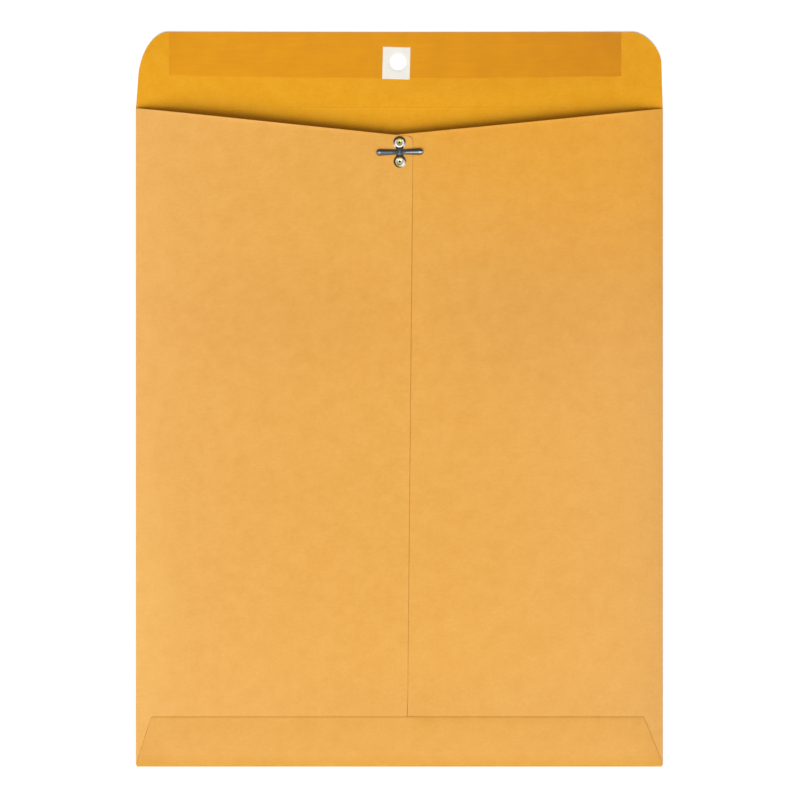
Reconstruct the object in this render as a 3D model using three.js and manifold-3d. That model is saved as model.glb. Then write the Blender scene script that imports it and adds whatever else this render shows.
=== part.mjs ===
// A kraft clasp envelope that lies on its address side, with its back up and its flap open.
// One sheet of paper is scored and folded round into a pocket: the address panel, two back panels
// that overlap in a glued centre seam, a bottom flap glued over them and a gummed seal flap.
// A stamped metal clasp is riveted to the back with two eyelets, and its two prongs pass through
// the reinforced hole of the flap. Sizes are in millimetres. The origin is the middle of the
// address side, +Y points to the flap and +Z up through the back.

import * as THREE from "three";
import { mergeVertices } from "three/addons/utils/BufferGeometryUtils.js";
import Module from "manifold-3d";

const wasm = await Module();
wasm.setup();

// Paper and glue
const paper = 0.16;
const glueLine = 0.06;
const glueFilm = 0.05;
const cutClearance = 0.3;

// Pocket
const pocketWidth = 304.8;
const pocketHeight = 381;
const pocketGape = 5.2;
const foldGap = 0.5;
const foldSteps = 6;

// How the back springs up from a fold: most of the way within the reach, and all of it at the run
const sideRise = { reach: 14, run: 60, facets: 8 };
const bottomRise = { reach: 25, run: 80, facets: 6 };

// Throat and centre seam
const throatDepth = 15.2;
const throatX = -2.5;
const throatCornerDrop = 0.4;
const seamOverlap = 16;
const seamEdgeTop = 8.2;
const seamEdgeBottom = 4.5;
const seamCornerRadius = 3;
const seamGlueWidth = 9;
const seamGlueStop = 14;

// Bottom flap
const bottomFlapHeight = 29.2;
const bottomFlapLeftInset = 8.9;
const bottomFlapRightInset = 11;
const bottomFlapShoulder = 3;
const bottomFlapCornerRadius = 2.5;
const bottomGlueHeight = 14;
const bottomGlueMargin = 6;

// Seal flap, its gum and its reinforced hole
const flapBeyondHole = 17.5;
const flapLeftTaper = 2;
const flapRightTaper = 1;
const flapLeftCorner = { radius: 28, cutOff: 4.9 };
const flapRightCorner = { radius: 21, cutOff: 1.3 };
const creaseClearance = 0.3;
const gumHeight = 25.2;
const gumLeftMargin = 19.1;
const gumRightMargin = 24;
const gumFilm = 0.06;
const holeDiameter = 9.9;
const holeX = -0.75;
const holeAllowance = 1;
const patchWidth = 16.4;
const patchHeight = 18.9;
const patchThickness = 0.15;
const patchOffset = new THREE.Vector2(-0.8, -0.5);
const patchTilt = THREE.MathUtils.degToRad(-1.6);

// Clasp
const claspX = 0.2;
const claspMargin = 1.2;
const claspTilt = THREE.MathUtils.degToRad(1.1);
const claspSheet = 0.35;
const eyeletSpacing = 11;
const barrelDiameter = 3.8;
const barrelWall = 0.4;
const eyeletRimWidth = 0.9;
const eyeletRimHeight = 0.55;
const clinchWidth = 1;
const clinchHeight = 0.35;
const baseMargin = 0.8;
const neckWidth = 4;
const prongSpan = 27.1;
const prongRootGap = 2;
const prongSideGap = 1.3;
const prongTipWidth = 4;
const prongRidge = 0.45;
const prongRidgeStart = 3;
const prongLift = 0.15;

// Places worked out from those sizes
const creaseY = pocketHeight / 2;
const bottomY = -pocketHeight / 2;
const eyeletRimDiameter = barrelDiameter + 2 * eyeletRimWidth;
const baseEndDiameter = eyeletRimDiameter + 2 * baseMargin;
const claspReach = throatDepth + claspMargin + (eyeletSpacing + baseEndDiameter) / 2;
const claspY = creaseY - claspReach;
const layerPitch = paper + glueLine;
const RIGHT_PANEL = 0;
const LEFT_PANEL = 1;
const BOTTOM_FLAP = 2;

// A fold is half a ring of paper: it is as tall outside as the layers that it wraps.
const foldHeight = (layer) => 2 * paper + foldGap + layer * layerPitch;
const foldRadius = (layer) => foldHeight(layer) / 2;

const leftPanelX = -pocketWidth / 2 + foldRadius(LEFT_PANEL);
const rightPanelX = pocketWidth / 2 - foldRadius(RIGHT_PANEL);
const archReach = pocketWidth / 2 - foldRadius(LEFT_PANEL);
const bellyStartY = bottomY + foldRadius(BOTTOM_FLAP);
const panelBottomY = bellyStartY + cutClearance;

// The hole lies a little farther from the crease than the clasp, because the crease climbs
// when the flap closes.
const holeReach = claspReach + holeAllowance;
const holeCentre = new THREE.Vector2(holeX, creaseY + holeReach);
const flapHeight = holeReach + flapBeyondHole;
const backThickness = 2 * paper + glueLine;
const backTopZ = paper + pocketGape + backThickness;

// Share of its full height that the back has reached at a distance from a fold. Creased paper springs up
// steeply and levels out, so this is an exponential curve, scaled to reach 1 at the end of its run.
function risen(distance, { reach, run }) {
  const within = THREE.MathUtils.clamp(distance, 0, run);
  return (1 - Math.exp(-within / reach)) / (1 - Math.exp(-run / reach));
}

// Clear height inside the pocket, which is flat on top and falls to the side folds and the bottom fold
function insideHeight(x, y) {
  const fromSide = risen(archReach - Math.abs(x), sideRise);
  const fromBottom = risen(y - bellyStartY, bottomRise);
  return foldGap + (pocketGape - foldGap) * fromSide * fromBottom;
}

// Geometries become solids to be cut, and then geometries again.
function solidFrom(geometry) {
  const bare = geometry.clone();
  bare.deleteAttribute("normal");
  bare.deleteAttribute("uv");
  const merged = mergeVertices(bare);
  return new wasm.Manifold(
    new wasm.Mesh({
      numProp: 3,
      vertProperties: merged.attributes.position.array,
      triVerts: new Uint32Array(merged.index.array),
    }),
  );
}

function geometryFrom(solid) {
  const mesh = solid.getMesh();
  const geometry = new THREE.BufferGeometry();
  geometry.setAttribute("position", new THREE.BufferAttribute(mesh.vertProperties, 3));
  geometry.setIndex(new THREE.BufferAttribute(mesh.triVerts, 1));
  geometry.computeVertexNormals();
  return geometry;
}

// A closed sheet on a grid. pointAt(column, row, face) gives the points of face 0 below and face 1 above.
function gridSheet(columns, rows, pointAt) {
  const positions = [];
  const triangles = [];
  const at = (column, row, face) => (face * rows + row) * columns + column;
  const quad = (a, b, c, d) => triangles.push(a, b, c, a, c, d);
  for (const face of [0, 1])
    for (let row = 0; row < rows; row++)
      for (let column = 0; column < columns; column++) positions.push(...pointAt(column, row, face));
  for (let row = 0; row < rows - 1; row++)
    for (let column = 0; column < columns - 1; column++) {
      const [c, r] = [column + 1, row + 1];
      quad(at(column, row, 1), at(c, row, 1), at(c, r, 1), at(column, r, 1));
      quad(at(column, row, 0), at(column, r, 0), at(c, r, 0), at(c, row, 0));
    }
  for (let column = 0; column < columns - 1; column++) {
    const last = rows - 1;
    quad(at(column, 0, 0), at(column + 1, 0, 0), at(column + 1, 0, 1), at(column, 0, 1));
    quad(at(column + 1, last, 0), at(column, last, 0), at(column, last, 1), at(column + 1, last, 1));
  }
  for (let row = 0; row < rows - 1; row++) {
    const last = columns - 1;
    quad(at(0, row + 1, 0), at(0, row, 0), at(0, row, 1), at(0, row + 1, 1));
    quad(at(last, row, 0), at(last, row + 1, 0), at(last, row + 1, 1), at(last, row, 1));
  }
  const geometry = new THREE.BufferGeometry();
  geometry.setAttribute("position", new THREE.Float32BufferAttribute(positions, 3));
  geometry.setIndex(triangles);
  geometry.computeVertexNormals();
  return geometry;
}

function flatPlate(shape, bottomZ, thickness) {
  const curveSegments = 10;
  const plate = new THREE.ExtrudeGeometry(shape, { depth: thickness, bevelEnabled: false, curveSegments });
  return plate.translate(0, 0, bottomZ);
}

// Distances from a fold at which the back has risen by equal steps
function riseStations({ reach, run, facets }) {
  const full = 1 - Math.exp(-run / reach);
  return Array.from({ length: facets + 1 }, (_, i) => -reach * Math.log(1 - (i / facets) * full));
}

// Every layer of the back follows the same facets, so that the sheets nest without touching.
const sideStations = riseStations(sideRise).map((distance) => archReach - distance);
const backColumns = [
  ...new Set([leftPanelX, ...sideStations.map((x) => -x), ...sideStations.reverse(), rightPanelX]),
];
const backRows = [...riseStations(bottomRise).map((distance) => bellyStartY + distance), creaseY];

// One layer of the back: lift is its height over the inside of the pocket, and outline its shape from above.
function backLayer(outline, lift, thickness) {
  const slab = gridSheet(backColumns.length, backRows.length, (column, row, face) => {
    const [x, y] = [backColumns[column], backRows[row]];
    return [x, y, paper + insideHeight(x, y) + lift + face * thickness];
  });
  return solidFrom(slab).intersect(solidFrom(flatPlate(outline, -1, 2 * backTopZ)));
}

// Round cutters at the two eyelets, through everything that the barrels pass
function eyeletHoles() {
  const radius = barrelDiameter / 2 + cutClearance;
  const cutter = (side) => {
    const rod = new THREE.CylinderGeometry(radius, radius, 2 * backTopZ, 24).rotateX(Math.PI / 2);
    rod.translate(0, (side * eyeletSpacing) / 2, 0).rotateZ(claspTilt);
    return solidFrom(rod.translate(claspX, claspY, backTopZ));
  };
  return cutter(1).add(cutter(-1));
}

// The throat's two edges fall from the side folds to one point, where the left panel crosses the right one.
const throatRise = throatDepth - throatCornerDrop;
const throatEdge = (side) => (x) => {
  const slope = throatRise / (pocketWidth / 2 + side * -throatX);
  return creaseY - throatDepth + side * (x - throatX) * slope;
};
const leftThroatY = throatEdge(-1);
const rightThroatY = throatEdge(1);
const seamX = (y) => {
  const along = (y - bottomY) / (creaseY - bottomY);
  return seamEdgeBottom + along * (seamEdgeTop - seamEdgeBottom);
};

function leftPanelOutline() {
  const beyond = pocketWidth / 2 + 1;
  const cornerX = seamX(leftThroatY(seamEdgeTop));
  const cornerY = leftThroatY(cornerX);
  const roundX = cornerX - seamCornerRadius;
  const shape = new THREE.Shape();
  shape.moveTo(-beyond, panelBottomY);
  shape.lineTo(seamX(panelBottomY), panelBottomY);
  shape.lineTo(seamX(cornerY - seamCornerRadius), cornerY - seamCornerRadius);
  shape.quadraticCurveTo(cornerX, cornerY, roundX, leftThroatY(roundX));
  shape.lineTo(-beyond, leftThroatY(-beyond));
  return shape;
}

function rightPanelOutline() {
  const beyond = pocketWidth / 2 + 1;
  const hiddenX = (y) => seamX(y) - seamOverlap;
  const topX = hiddenX(creaseY - throatDepth);
  const shape = new THREE.Shape();
  shape.moveTo(beyond, panelBottomY);
  shape.lineTo(beyond, rightThroatY(beyond));
  shape.lineTo(topX, rightThroatY(topX));
  shape.lineTo(hiddenX(panelBottomY), panelBottomY);
  return shape;
}

function leftBackPanel() {
  return geometryFrom(backLayer(leftPanelOutline(), layerPitch, paper).subtract(eyeletHoles()));
}

function rightBackPanel() {
  return geometryFrom(backLayer(rightPanelOutline(), 0, paper).subtract(eyeletHoles()));
}

// The seam's glue lies between the two panels, under the visible edge, and stops short of the clasp.
function seamGlue() {
  const centreX = (y) => seamX(y) - seamOverlap / 2;
  const [low, high] = [panelBottomY + seamCornerRadius, claspY - seamGlueStop];
  const shape = new THREE.Shape();
  shape.moveTo(centreX(low) - seamGlueWidth / 2, low);
  shape.lineTo(centreX(low) + seamGlueWidth / 2, low);
  shape.lineTo(centreX(high) + seamGlueWidth / 2, high);
  shape.lineTo(centreX(high) - seamGlueWidth / 2, high);
  return geometryFrom(backLayer(shape, paper + (glueLine - glueFilm) / 2, glueFilm));
}

// The point on the bottom flap's slanted side where the rounding of its top corner starts
function slantBelow(topX, footX, topY, footY) {
  const slant = new THREE.Vector2(footX - topX, footY - topY).setLength(bottomFlapCornerRadius);
  return [topX + slant.x, topY + slant.y];
}

function bottomFlap() {
  const halfWidth = pocketWidth / 2 - foldRadius(LEFT_PANEL);
  const topY = bottomY + bottomFlapHeight;
  const shoulderY = bottomY + bottomFlapShoulder;
  const shape = new THREE.Shape();
  const [left, right] = [-pocketWidth / 2 + bottomFlapLeftInset, pocketWidth / 2 - bottomFlapRightInset];
  shape.moveTo(-halfWidth, bellyStartY);
  shape.lineTo(halfWidth, bellyStartY);
  shape.lineTo(halfWidth, shoulderY);
  shape.lineTo(...slantBelow(right, halfWidth, topY, shoulderY));
  shape.quadraticCurveTo(right, topY, right - bottomFlapCornerRadius, topY);
  shape.lineTo(left + bottomFlapCornerRadius, topY);
  shape.quadraticCurveTo(left, topY, ...slantBelow(left, -halfWidth, topY, shoulderY));
  shape.lineTo(-halfWidth, shoulderY);
  return geometryFrom(backLayer(shape, 2 * layerPitch, paper));
}

function bottomFlapGlue() {
  const top = bottomY + bottomFlapHeight - bottomGlueMargin;
  const left = -pocketWidth / 2 + bottomFlapLeftInset + bottomGlueMargin;
  const right = pocketWidth / 2 - bottomFlapRightInset - bottomGlueMargin;
  const shape = rectangle(left, top - bottomGlueHeight, right, top);
  return geometryFrom(backLayer(shape, 2 * layerPitch - (glueLine + glueFilm) / 2, glueFilm));
}

function rectangle(left, low, right, high) {
  const shape = new THREE.Shape();
  shape.moveTo(left, low);
  shape.lineTo(right, low);
  shape.lineTo(right, high);
  shape.lineTo(left, high);
  return shape;
}

// The address panel lies flat on the table, between the folds and up to the crease.
function frontPanel() {
  return flatPlate(rectangle(leftPanelX, bellyStartY, rightPanelX, creaseY), 0, paper);
}

// Half a ring of paper that opens towards +X, with its middle at the origin
function foldSection(layer) {
  const outer = foldRadius(layer);
  const shape = new THREE.Shape();
  shape.absarc(0, 0, outer, Math.PI / 2, (3 * Math.PI) / 2, false);
  shape.absarc(0, 0, outer - paper, (3 * Math.PI) / 2, Math.PI / 2, true);
  return shape;
}

function foldStrip(layer, length) {
  const options = { depth: length, bevelEnabled: false, curveSegments: foldSteps };
  return new THREE.ExtrudeGeometry(foldSection(layer), options);
}

// A side fold runs from the bottom of the back panels to the throat's corner.
function sideFold(layer, mirrored) {
  const topY = creaseY - throatCornerDrop;
  const length = topY - panelBottomY;
  const strip = foldStrip(layer, length).rotateX(Math.PI / 2).translate(0, length / 2, 0);
  if (mirrored) strip.rotateZ(Math.PI);
  return strip.translate(mirrored ? rightPanelX : leftPanelX, topY - length / 2, foldRadius(layer));
}

function bottomFold() {
  const halfWidth = pocketWidth / 2 - foldRadius(LEFT_PANEL);
  const turn = new THREE.Matrix4().makeBasis(
    new THREE.Vector3(0, 1, 0),
    new THREE.Vector3(0, 0, 1),
    new THREE.Vector3(1, 0, 0),
  );
  const strip = foldStrip(BOTTOM_FLAP, 2 * halfWidth).applyMatrix4(turn);
  return strip.translate(-halfWidth, bellyStartY, foldRadius(BOTTOM_FLAP));
}

function holePath() {
  return new THREE.Path().absarc(holeCentre.x, holeCentre.y, holeDiameter / 2, 0, 2 * Math.PI, true);
}

// A corner of the flap is an arc that leaves the side smoothly and is cut short by the straight top edge.
function cornerArc({ radius, cutOff }) {
  const shoulder = creaseY + flapHeight + cutOff - radius;
  return { radius, shoulder, turn: Math.asin((radius - cutOff) / radius) };
}

function sealFlap() {
  const low = creaseY + creaseClearance;
  const [leftArc, rightArc] = [cornerArc(flapLeftCorner), cornerArc(flapRightCorner)];
  const leftX = flapLeftTaper - pocketWidth / 2 + leftArc.radius;
  const rightX = pocketWidth / 2 - flapRightTaper - rightArc.radius;
  const shape = new THREE.Shape();
  shape.moveTo(-pocketWidth / 2, low);
  shape.lineTo(pocketWidth / 2, low);
  shape.absarc(rightX, rightArc.shoulder, rightArc.radius, 0, rightArc.turn, false);
  shape.absarc(leftX, leftArc.shoulder, leftArc.radius, Math.PI - leftArc.turn, Math.PI, false);
  shape.holes.push(holePath());
  return flatPlate(shape, 0, paper);
}

// The patch's corners, turned a little about the hole as it is stuck on
function patchCorners(margin) {
  const [w, h] = [patchWidth / 2 + margin, patchHeight / 2 + margin];
  const corners = [[-w, -h], [w, -h], [w, h], [-w, h]];
  return corners.map(([x, y]) => {
    const corner = new THREE.Vector2(x, y).rotateAround(new THREE.Vector2(), patchTilt);
    return corner.add(patchOffset).add(holeCentre);
  });
}

function holePatch() {
  const shape = new THREE.Shape(patchCorners(0));
  shape.holes.push(holePath());
  return flatPlate(shape, paper, patchThickness);
}

// The band of dried gum along the flap's edge is bare round the patch.
function flapGum() {
  const left = -pocketWidth / 2 + gumLeftMargin;
  const right = pocketWidth / 2 - gumRightMargin;
  const high = creaseY + flapHeight;
  const band = solidFrom(flatPlate(rectangle(left, high - gumHeight, right, high), paper, gumFilm));
  const bare = new THREE.Shape(patchCorners(cutClearance));
  return geometryFrom(band.subtract(solidFrom(flatPlate(bare, 0, 1))));
}

// Clasp. Its pieces are made round the clasp's middle, with z = 0 on the paper of the back.
function claspBase() {
  const [radius, half] = [baseEndDiameter / 2, eyeletSpacing / 2];
  const neckAngle = Math.asin(neckWidth / 2 / radius);
  const shape = new THREE.Shape();
  shape.absarc(0, half, radius, neckAngle - Math.PI / 2, (3 * Math.PI) / 2 - neckAngle, false);
  shape.absarc(0, -half, radius, Math.PI / 2 + neckAngle, (5 * Math.PI) / 2 - neckAngle, false);
  const holeRadius = barrelDiameter / 2 + cutClearance;
  for (const y of [half, -half])
    shape.holes.push(new THREE.Path().absarc(0, y, holeRadius, 0, 2 * Math.PI, true));
  return flatPlate(shape, 0, claspSheet);
}

// A rolled rim above, a barrel through the base and the paper, and a clinched flange inside the pocket
function eyelet() {
  const barrel = barrelDiameter / 2;
  const bore = barrel - barrelWall;
  const [rim, clinch] = [barrel + eyeletRimWidth, barrel + clinchWidth];
  const [rimFoot, clinchFoot] = [claspSheet, -backThickness];
  const profile = new THREE.Path();
  profile.moveTo(bore, clinchFoot - clinchHeight / 2);
  profile.lineTo((bore + clinch) / 2, clinchFoot - clinchHeight);
  profile.quadraticCurveTo(clinch, clinchFoot - clinchHeight, clinch, clinchFoot);
  profile.lineTo(barrel, clinchFoot);
  profile.lineTo(barrel, rimFoot);
  profile.lineTo(rim, rimFoot);
  const rimMiddle = (rim + bore) / 2;
  profile.absellipse(rimMiddle, rimFoot, rim - rimMiddle, eyeletRimHeight, 0, Math.PI, false);
  profile.closePath();
  return new THREE.LatheGeometry(profile.getPoints(4), 24).rotateX(Math.PI / 2);
}

// A prong is a strip of sheet with a raised ridge: it lies along +X from its bend, which is at x = 0.
function prong() {
  const length = (prongSpan - prongRootGap) / 2;
  const tip = prongTipWidth / 2;
  const root = (eyeletSpacing - eyeletRimDiameter) / 2 - prongSideGap;
  const straight = length - tip;
  const straightStations = [0, 0.12, 0.25, 0.5, 0.75, 1].map((share) => {
    const x = share * straight;
    return { x, half: root + share * (tip - root) };
  });
  const tipStations = [20, 40, 60, 75, 85].map(THREE.MathUtils.degToRad).map((angle) => {
    return { x: straight + tip * Math.sin(angle), half: tip * Math.cos(angle) };
  });
  const stations = [...straightStations, ...tipStations];
  const rows = 7;
  return gridSheet(stations.length, rows, (column, row, face) => {
    const { x, half } = stations[column];
    const across = (2 * row) / (rows - 1) - 1;
    const grown = Math.min(x / prongRidgeStart, 1) * Math.min(half / tip, 1);
    return [x, across * half, prongRidge * grown * (1 - across ** 2) + face * claspSheet];
  });
}

// Materials
const finish = (color, roughness, metalness = 0) => {
  return new THREE.MeshStandardMaterial({ color, roughness, metalness });
};
const kraftOutside = finish("#eeb058", 0.85);
const kraftInside = finish("#e8a224", 0.8);
const driedGum = finish("#dd9420", 0.45);
const driedGlue = finish("#c98f3c", 0.5);
const whitePatch = finish("#f3eee5", 0.75);
const tinnedSteel = finish("#8b8f96", 0.28, 1);

function piece(name, geometry, material) {
  const mesh = new THREE.Mesh(geometry, material);
  mesh.name = name;
  return mesh;
}

function pocket() {
  const group = new THREE.Group();
  group.add(
    piece("front_panel", frontPanel(), kraftInside),
    piece("left_side_fold", sideFold(LEFT_PANEL, false), kraftOutside),
    piece("right_side_fold", sideFold(RIGHT_PANEL, true), kraftOutside),
    piece("left_back_panel", leftBackPanel(), kraftOutside),
    piece("right_back_panel", rightBackPanel(), kraftOutside),
    piece("seam_glue", seamGlue(), driedGlue),
    piece("bottom_fold", bottomFold(), kraftOutside),
    piece("bottom_flap", bottomFlap(), kraftOutside),
    piece("bottom_flap_glue", bottomFlapGlue(), driedGlue),
  );
  return group;
}

function flap() {
  const group = new THREE.Group();
  group.add(
    piece("seal_flap", sealFlap(), kraftInside),
    piece("flap_gum", flapGum(), driedGum),
    piece("hole_patch", holePatch(), whitePatch),
  );
  return group;
}

function clasp() {
  const group = new THREE.Group();
  group.position.set(claspX, claspY, backTopZ);
  group.rotation.z = claspTilt;
  const upper = piece("upper_eyelet", eyelet(), tinnedSteel);
  const lower = piece("lower_eyelet", eyelet(), tinnedSteel);
  upper.position.y = eyeletSpacing / 2;
  lower.position.y = -eyeletSpacing / 2;
  const right = piece("right_prong", prong(), tinnedSteel);
  const left = piece("left_prong", prong(), tinnedSteel);
  right.position.set(prongRootGap / 2, 0, claspSheet + prongLift);
  left.position.set(-prongRootGap / 2, 0, claspSheet + prongLift);
  left.rotation.z = Math.PI;
  group.add(piece("clasp_base", claspBase(), tinnedSteel), upper, lower, left, right);
  return group;
}

const envelope = new THREE.Group();
envelope.add(pocket(), flap(), clasp());

export default envelope;
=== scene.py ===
# %% [markdown]
# # A kraft clasp envelope
# The envelope lies on its address side with its flap open, and we look straight down on its back. The CAD
# model gives the outer box and every joint, and this script stays inside that box. This script dresses the
# model: each sheet of paper becomes a fine, smooth surface worked out with numpy, and the clasp gets rounded
# metal.

# %% Load the frame
import math

import bpy
import numpy as np
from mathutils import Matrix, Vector


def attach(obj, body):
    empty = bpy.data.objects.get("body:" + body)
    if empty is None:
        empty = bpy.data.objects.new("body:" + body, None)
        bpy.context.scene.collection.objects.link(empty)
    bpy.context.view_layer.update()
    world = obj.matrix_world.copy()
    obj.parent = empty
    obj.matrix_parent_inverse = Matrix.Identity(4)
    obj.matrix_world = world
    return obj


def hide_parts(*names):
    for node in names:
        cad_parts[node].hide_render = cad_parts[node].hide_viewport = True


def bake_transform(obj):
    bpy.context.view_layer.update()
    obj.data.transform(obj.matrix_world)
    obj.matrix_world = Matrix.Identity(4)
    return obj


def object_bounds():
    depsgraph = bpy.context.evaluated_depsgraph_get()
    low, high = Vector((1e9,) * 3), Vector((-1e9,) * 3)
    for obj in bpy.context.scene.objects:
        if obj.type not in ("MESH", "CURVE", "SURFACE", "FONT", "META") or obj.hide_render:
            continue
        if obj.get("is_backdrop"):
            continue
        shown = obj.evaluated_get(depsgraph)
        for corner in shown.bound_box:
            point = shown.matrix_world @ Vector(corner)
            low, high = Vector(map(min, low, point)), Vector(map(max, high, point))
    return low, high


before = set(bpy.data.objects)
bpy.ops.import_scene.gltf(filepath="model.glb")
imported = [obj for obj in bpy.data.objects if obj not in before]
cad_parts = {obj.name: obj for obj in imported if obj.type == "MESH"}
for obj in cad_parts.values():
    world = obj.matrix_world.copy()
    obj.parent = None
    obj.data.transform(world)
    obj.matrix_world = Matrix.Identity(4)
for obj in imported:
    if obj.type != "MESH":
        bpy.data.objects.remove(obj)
cad_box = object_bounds()
MM = 0.001
print("CAD nodes:", len(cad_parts))

# %% [markdown]
# ## The picture
# A product photo of a flat thing is taken from far above with a long lens, so that nothing leans. The camera
# comes first, because every later decision is judged through it. It sits five metres up and looks straight
# down.

# %% Camera
view_width, view_x, view_y = 462.87 * MM, 0.405 * MM, 21.67 * MM
camera_height, film_width = 5.0, 36
camera_data = bpy.data.cameras.new("Camera")
camera_data.sensor_width = film_width
camera_data.lens = film_width * camera_height / view_width
camera = bpy.data.objects.new("Camera", camera_data)
camera.location = (view_x, view_y, camera_height)
bpy.context.scene.collection.objects.link(camera)
bpy.context.scene.camera = camera
print("lens", round(camera_data.lens, 1), "mm")

# %% [markdown]
# ## Light and table
# Two broad softboxes stand on the side of the envelope's bottom edge, the stronger one to the left. Seen from
# the paper each is about fifty degrees wide, and that is what makes the throat's shadow so soft. The rest is
# an even glow from all round. The table is white, and it keeps the thin shadow under the paper.

# %% Node helpers
def add(tree, kind, inputs=None, **settings):
    """Adds one node. An input is given as a value, or as another node's output to link."""
    node = tree.nodes.new(kind)
    for key, value in settings.items():
        setattr(node, key, value)
    for socket, value in (inputs or {}).items():
        if isinstance(value, bpy.types.NodeSocket):
            tree.links.new(value, node.inputs[socket])
        else:
            node.inputs[socket].default_value = value
    return node

def arithmetic(tree, operation, *values, **settings):
    """The result of one arithmetic node."""
    return add(tree, "ShaderNodeMath", dict(enumerate(values)), operation=operation, **settings).outputs[0]

def new_finish(name, roughness, shine, metal=0.0):
    """A material with its plain shader, whose constants are set on the shader itself."""
    material = bpy.data.materials.new(name)
    material.use_nodes = True
    shader = material.node_tree.nodes["Principled BSDF"]
    shader.inputs["Roughness"].default_value = roughness
    shader.inputs["Specular IOR Level"].default_value = shine
    shader.inputs["Metallic"].default_value = metal
    return material, material.node_tree, shader

# %% World
glow_strength = 0.26
world = bpy.data.worlds.new("Studio")
bpy.context.scene.world = world
world.use_nodes = True
sky = world.node_tree
sky.nodes.clear()
path = add(sky, "ShaderNodeLightPath").outputs
seen = arithmetic(sky, "MAXIMUM", path["Is Camera Ray"], path["Is Glossy Ray"])
seen = arithmetic(sky, "MAXIMUM", seen, path["Is Transmission Ray"])
glow = add(sky, "ShaderNodeBackground", {"Color": (1, 1, 1, 1), "Strength": glow_strength})
backdrop = add(sky, "ShaderNodeBackground", {"Color": (1, 1, 1, 1), "Strength": 1.0})
choice = add(sky, "ShaderNodeMixShader", {0: seen, 1: glow.outputs[0], 2: backdrop.outputs[0]})
add(sky, "ShaderNodeOutputWorld", {"Surface": choice.outputs[0]})
bpy.context.scene.view_settings.view_transform = "Standard"
print("glow", glow_strength)

# %% Lamps
def softbox(name, turn, elevation, share, side=7.4, distance=8.0):
    """A square lamp aimed at the envelope; share is how bright it alone would make a white sheet."""
    turn, elevation = math.radians(turn), math.radians(elevation)
    flat = math.cos(elevation)
    toward = Vector((math.sin(turn) * flat, -math.cos(turn) * flat, math.sin(elevation)))
    data = bpy.data.lights.new(name, "AREA")
    data.shape, data.size = "SQUARE", side
    data.energy = share * math.pi**2 * distance**2 / math.sin(elevation)
    lamp = bpy.data.objects.new(name, data)
    lamp.location = toward * distance
    lamp.rotation_mode = "QUATERNION"
    lamp.rotation_quaternion = (-toward).to_track_quat("-Z", "Y")
    bpy.context.scene.collection.objects.link(lamp)
    print(name, round(data.energy, 1), "W")

softbox("Left softbox", turn=-38, elevation=43, share=0.64)
softbox("Right softbox", turn=32, elevation=45, share=0.37)

# %% Table
table_half, table_drop, table_glow = 3.0, 0.02 * MM, 0.14
table_mesh = bpy.data.meshes.new("Table")
corners = [(x * table_half, y * table_half, -table_drop) for x, y in ((-1, -1), (1, -1), (1, 1), (-1, 1))]
table_mesh.from_pydata(corners, [], [(0, 1, 2, 3)])
table = bpy.data.objects.new("Table", table_mesh)
bpy.context.scene.collection.objects.link(table)
table_paint, paint_tree, paint_shader = new_finish("Table white", roughness=0.9, shine=0.1)
paint_shader.inputs["Base Color"].default_value = (0.93, 0.93, 0.93, 1)
paint_shader.inputs["Emission Color"].default_value = (1, 1, 1, 1)
looked_at = add(paint_tree, "ShaderNodeLightPath").outputs["Is Camera Ray"]
paint_glow = arithmetic(paint_tree, "MULTIPLY", looked_at, table_glow)
paint_tree.links.new(paint_glow, paint_shader.inputs["Emission Strength"])
table_mesh.materials.append(table_paint)
table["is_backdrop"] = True
print("table at z", -table_drop / MM, "mm")

# %% [markdown]
# ## How a sheet is made
# Every paper piece is two grids of points, one for each side of the sheet, with a narrow wall round their
# rim. A grid can have cells left out, for an eyelet hole or a notch, and the wall follows that gap too, so
# that the sheet is always one closed body. Each point also remembers where it lies at rest, and the paper's
# pattern is read from there, so that it stays on the paper when the flap bends.

# %% Closed sheets from grids
def points_at(*coordinates):
    """Points from their coordinates, which are spread over each other to one shape."""
    return np.stack(np.broadcast_arrays(*coordinates), axis=-1)

def wall_faces(lower, upper, keep, wrap):
    """Walls where a kept cell meets a gap or the grid's end: each is the quad between the two sides' edge."""
    rows, cells = keep.shape
    padded_rows = np.pad(keep, ((1, 1), (0, 0)))
    if wrap:
        west, east = np.roll(keep, 1, axis=1), np.roll(keep, -1, axis=1)
    else:
        padded = np.pad(keep, ((0, 0), (1, 1)))
        west, east = padded[:, :-2], padded[:, 2:]
    r, c = np.meshgrid(np.arange(rows), np.arange(cells), indexing="ij")
    d = (c + 1) % upper.shape[1]
    walls = []
    for gap, (r0, c0, r1, c1) in (
        (~padded_rows[:-2], (r, c, r, d)),
        (~padded_rows[2:], (r + 1, d, r + 1, c)),
        (~west, (r + 1, c, r, c)),
        (~east, (r, d, r + 1, d)),
    ):
        pick = keep & gap
        quad = [lower[r0, c0], lower[r1, c1], upper[r1, c1], upper[r0, c0]]
        walls.append(np.stack([side[pick] for side in quad], axis=-1))
    return np.concatenate(walls)

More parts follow.
